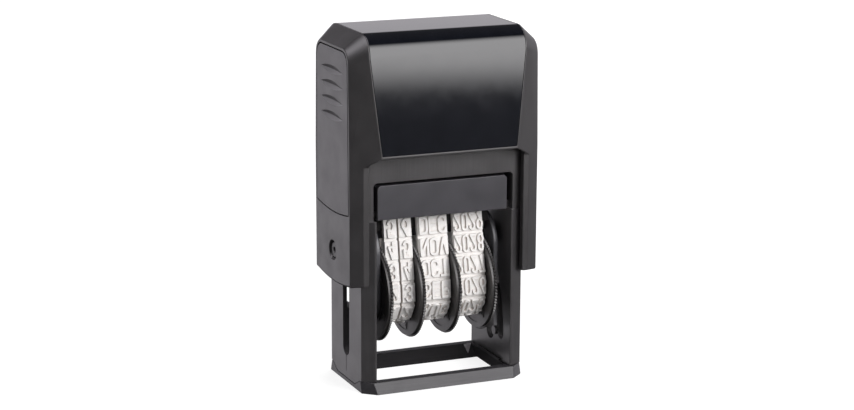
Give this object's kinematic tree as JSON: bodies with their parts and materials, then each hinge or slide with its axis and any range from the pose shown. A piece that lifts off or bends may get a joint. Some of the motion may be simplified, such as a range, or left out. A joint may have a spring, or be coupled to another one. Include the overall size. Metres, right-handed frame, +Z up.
{
  "type": "self-inking date stamp",
  "caption": "Self-inking date stamp: a sprung handle slides down a slotted frame and flips a rocker of date bands from the ink pad to the paper; thumb wheels set the date.",
  "frame": {"origin": "middle of the underside of the base ring", "axes": "+X to the right, +Y to the back, +Z up; the ink cassette slides out towards -Y"},
  "size_m": [0.0442, 0.027, 0.079],
  "materials": {
    "base_plastic": "moulded plastic, fine satin grain",
    "frame_plastic": "moulded plastic, fine satin grain",
    "spring_steel": "drawn spring wire",
    "cassette_plastic": "moulded plastic, smooth",
    "ink_felt": "felt soaked with black ink",
    "handle_plastic": "moulded plastic, fine satin grain",
    "gloss_cover": "polished",
    "grip_plastic": "moulded plastic, fine satin grain",
    "rocker_plastic": "moulded plastic, smooth",
    "axle_steel": "ground steel",
    "pin_plastic": "moulded plastic, smooth",
    "band_rubber": "moulded rubber, warm white",
    "wheel_plastic": "moulded plastic, smooth"
  },
  "bodies": {
    "frame": {"base_ring": "base_plastic", "lower_frame": "frame_plastic", "return_spring": "spring_steel"},
    "cassette": {"pad_cassette": "cassette_plastic", "ink_pad": "ink_felt"},
    "handle": {"handle_shell": "handle_plastic", "top_cover": "gloss_cover", "grip_panel_left": "grip_plastic", "grip_panel_right": "grip_plastic"},
    "rocker": {"rocker_frame": "rocker_plastic", "print_bar": "rocker_plastic", "wheel_axle": "axle_steel", "axle_spacer": "rocker_plastic", "pivot_pin_left": "pin_plastic", "pivot_pin_right": "pin_plastic", "follower_pin_left": "pin_plastic", "follower_pin_right": "pin_plastic", "band_day_tens": "band_rubber", "band_day_units": "band_rubber", "band_month": "band_rubber", "band_year": "band_rubber"},
    "wheel_day_tens": {"wheel_day_tens": "wheel_plastic"},
    "wheel_day_units": {"wheel_day_units": "wheel_plastic"},
    "wheel_month": {"wheel_month": "wheel_plastic"},
    "wheel_year": {"wheel_year": "wheel_plastic"}
  },
  "joints": [
    {"name": "cassette_slide", "type": "slide", "parent": "frame", "child": "cassette", "axis": [0, 1, 0], "range_m": [-0.022, 0]},
    {"name": "press", "type": "slide", "parent": "frame", "child": "handle", "axis": [0, 0, -1], "range_m": [0, 0.0215], "stiffness_N_per_m": 350, "springref_m": -0.006, "deforming": ["return_spring"]},
    {"name": "flip", "type": "hinge", "parent": "handle", "child": "rocker", "pos_m": [0, 0, 0.0304], "axis": [1, 0, 0], "range_deg": [0, 180]},
    {"name": "turn_day_tens", "type": "hinge", "parent": "rocker", "child": "wheel_day_tens", "pos_m": [0, 0, 0.0203], "axis": [1, 0, 0], "continuous": true},
    {"name": "turn_day_units", "type": "hinge", "parent": "rocker", "child": "wheel_day_units", "pos_m": [0, 0, 0.0203], "axis": [1, 0, 0], "continuous": true},
    {"name": "turn_month", "type": "hinge", "parent": "rocker", "child": "wheel_month", "pos_m": [0, 0, 0.0203], "axis": [1, 0, 0], "continuous": true},
    {"name": "turn_year", "type": "hinge", "parent": "rocker", "child": "wheel_year", "pos_m": [0, 0, 0.0203], "axis": [1, 0, 0], "continuous": true}
  ],
  "couplings": [
    {"joint": "flip", "follows": "press", "rad_per_m": 146.12}
  ]
}
